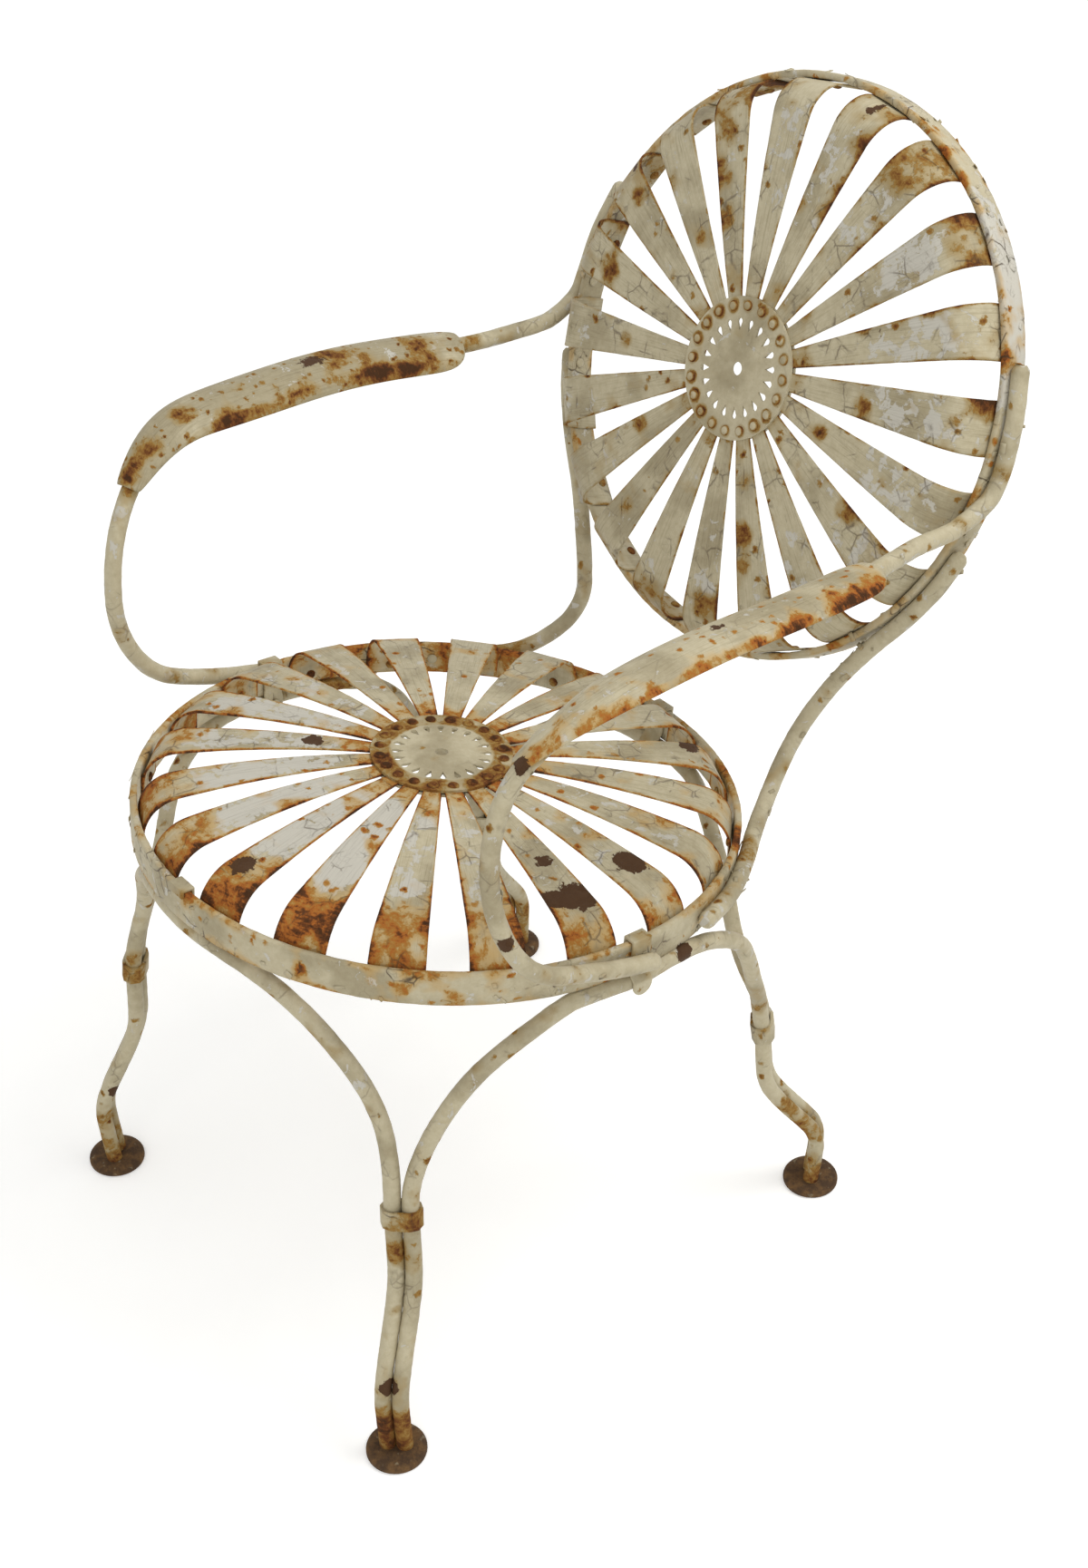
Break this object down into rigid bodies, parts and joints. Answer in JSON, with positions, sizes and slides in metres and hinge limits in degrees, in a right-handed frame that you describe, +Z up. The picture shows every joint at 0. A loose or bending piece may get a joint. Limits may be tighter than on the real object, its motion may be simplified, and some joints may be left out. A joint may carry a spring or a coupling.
{
  "type": "garden armchair",
  "caption": "Round-seated garden armchair: sprung metal slats fan from pierced hubs to a seat hoop and a back hoop, with bent bar arms and arched legs on round feet",
  "frame": {"origin": "on the floor, under the middle of the overall box", "axes": "+X is the sitter's left, +Y points from the front to the rear of the chair, +Z is up"},
  "size_m": [0.4978, 0.6184, 0.8056],
  "materials": {
    "slats": "thick cream paint on spring steel strip, flaked and rusted at the bends",
    "hubs": "thick cream paint on pressed steel sheet, rust round the rivets",
    "hoops": "thick cream paint on flat steel bar, chipped at the edges",
    "bars": "thick cream paint on bent round wrought bar, cracked and chipped",
    "arm_rests": "thick cream paint on bowed steel sheet, rust along the near edges",
    "bands": "thick cream paint on bent steel strip, rusty at the edges",
    "rivets": "painted rivet heads with rings of rust",
    "foot_pads": "bare dark brown rusted steel with traces of paint"
  },
  "bodies": {
    "root": {"back_hoop": "hoops", "back_hub": "hubs", "back_slat_01": "slats", "back_slat_02": "slats", "back_slat_03": "slats", "back_slat_04": "slats", "back_slat_05": "slats", "back_slat_06": "slats", "back_slat_07": "slats", "back_slat_08": "slats", "back_slat_09": "slats", "back_slat_10": "slats", "back_slat_11": "slats", "back_slat_12": "slats", "back_slat_13": "slats", "back_slat_14": "slats", "back_slat_15": "slats", "back_slat_16": "slats", "back_slat_17": "slats", "back_slat_18": "slats", "back_slat_19": "slats", "back_slat_20": "slats", "feet": "foot_pads", "frame_rivets": "rivets", "front_leg_arch": "bars", "hoop_clips": "bands", "hub_rings": "hubs", "left_arm_bar": "bars", "left_arm_rest": "arm_rests", "left_back_stay": "bars", "left_leg_arch": "bars", "leg_collars": "bands", "rear_leg_arch": "bars", "right_arm_bar": "bars", "right_arm_rest": "arm_rests", "right_back_stay": "bars", "right_leg_arch": "bars", "seat_hoop": "hoops", "seat_hub": "hubs", "seat_slat_01": "slats", "seat_slat_02": "slats", "seat_slat_03": "slats", "seat_slat_04": "slats", "seat_slat_05": "slats", "seat_slat_06": "slats", "seat_slat_07": "slats", "seat_slat_08": "slats", "seat_slat_09": "slats", "seat_slat_10": "slats", "seat_slat_11": "slats", "seat_slat_12": "slats", "seat_slat_13": "slats", "seat_slat_14": "slats", "seat_slat_15": "slats", "seat_slat_16": "slats", "seat_slat_17": "slats", "seat_slat_18": "slats", "seat_slat_19": "slats", "seat_slat_20": "slats", "slat_rivets": "rivets"}
  },
  "joints": []
}
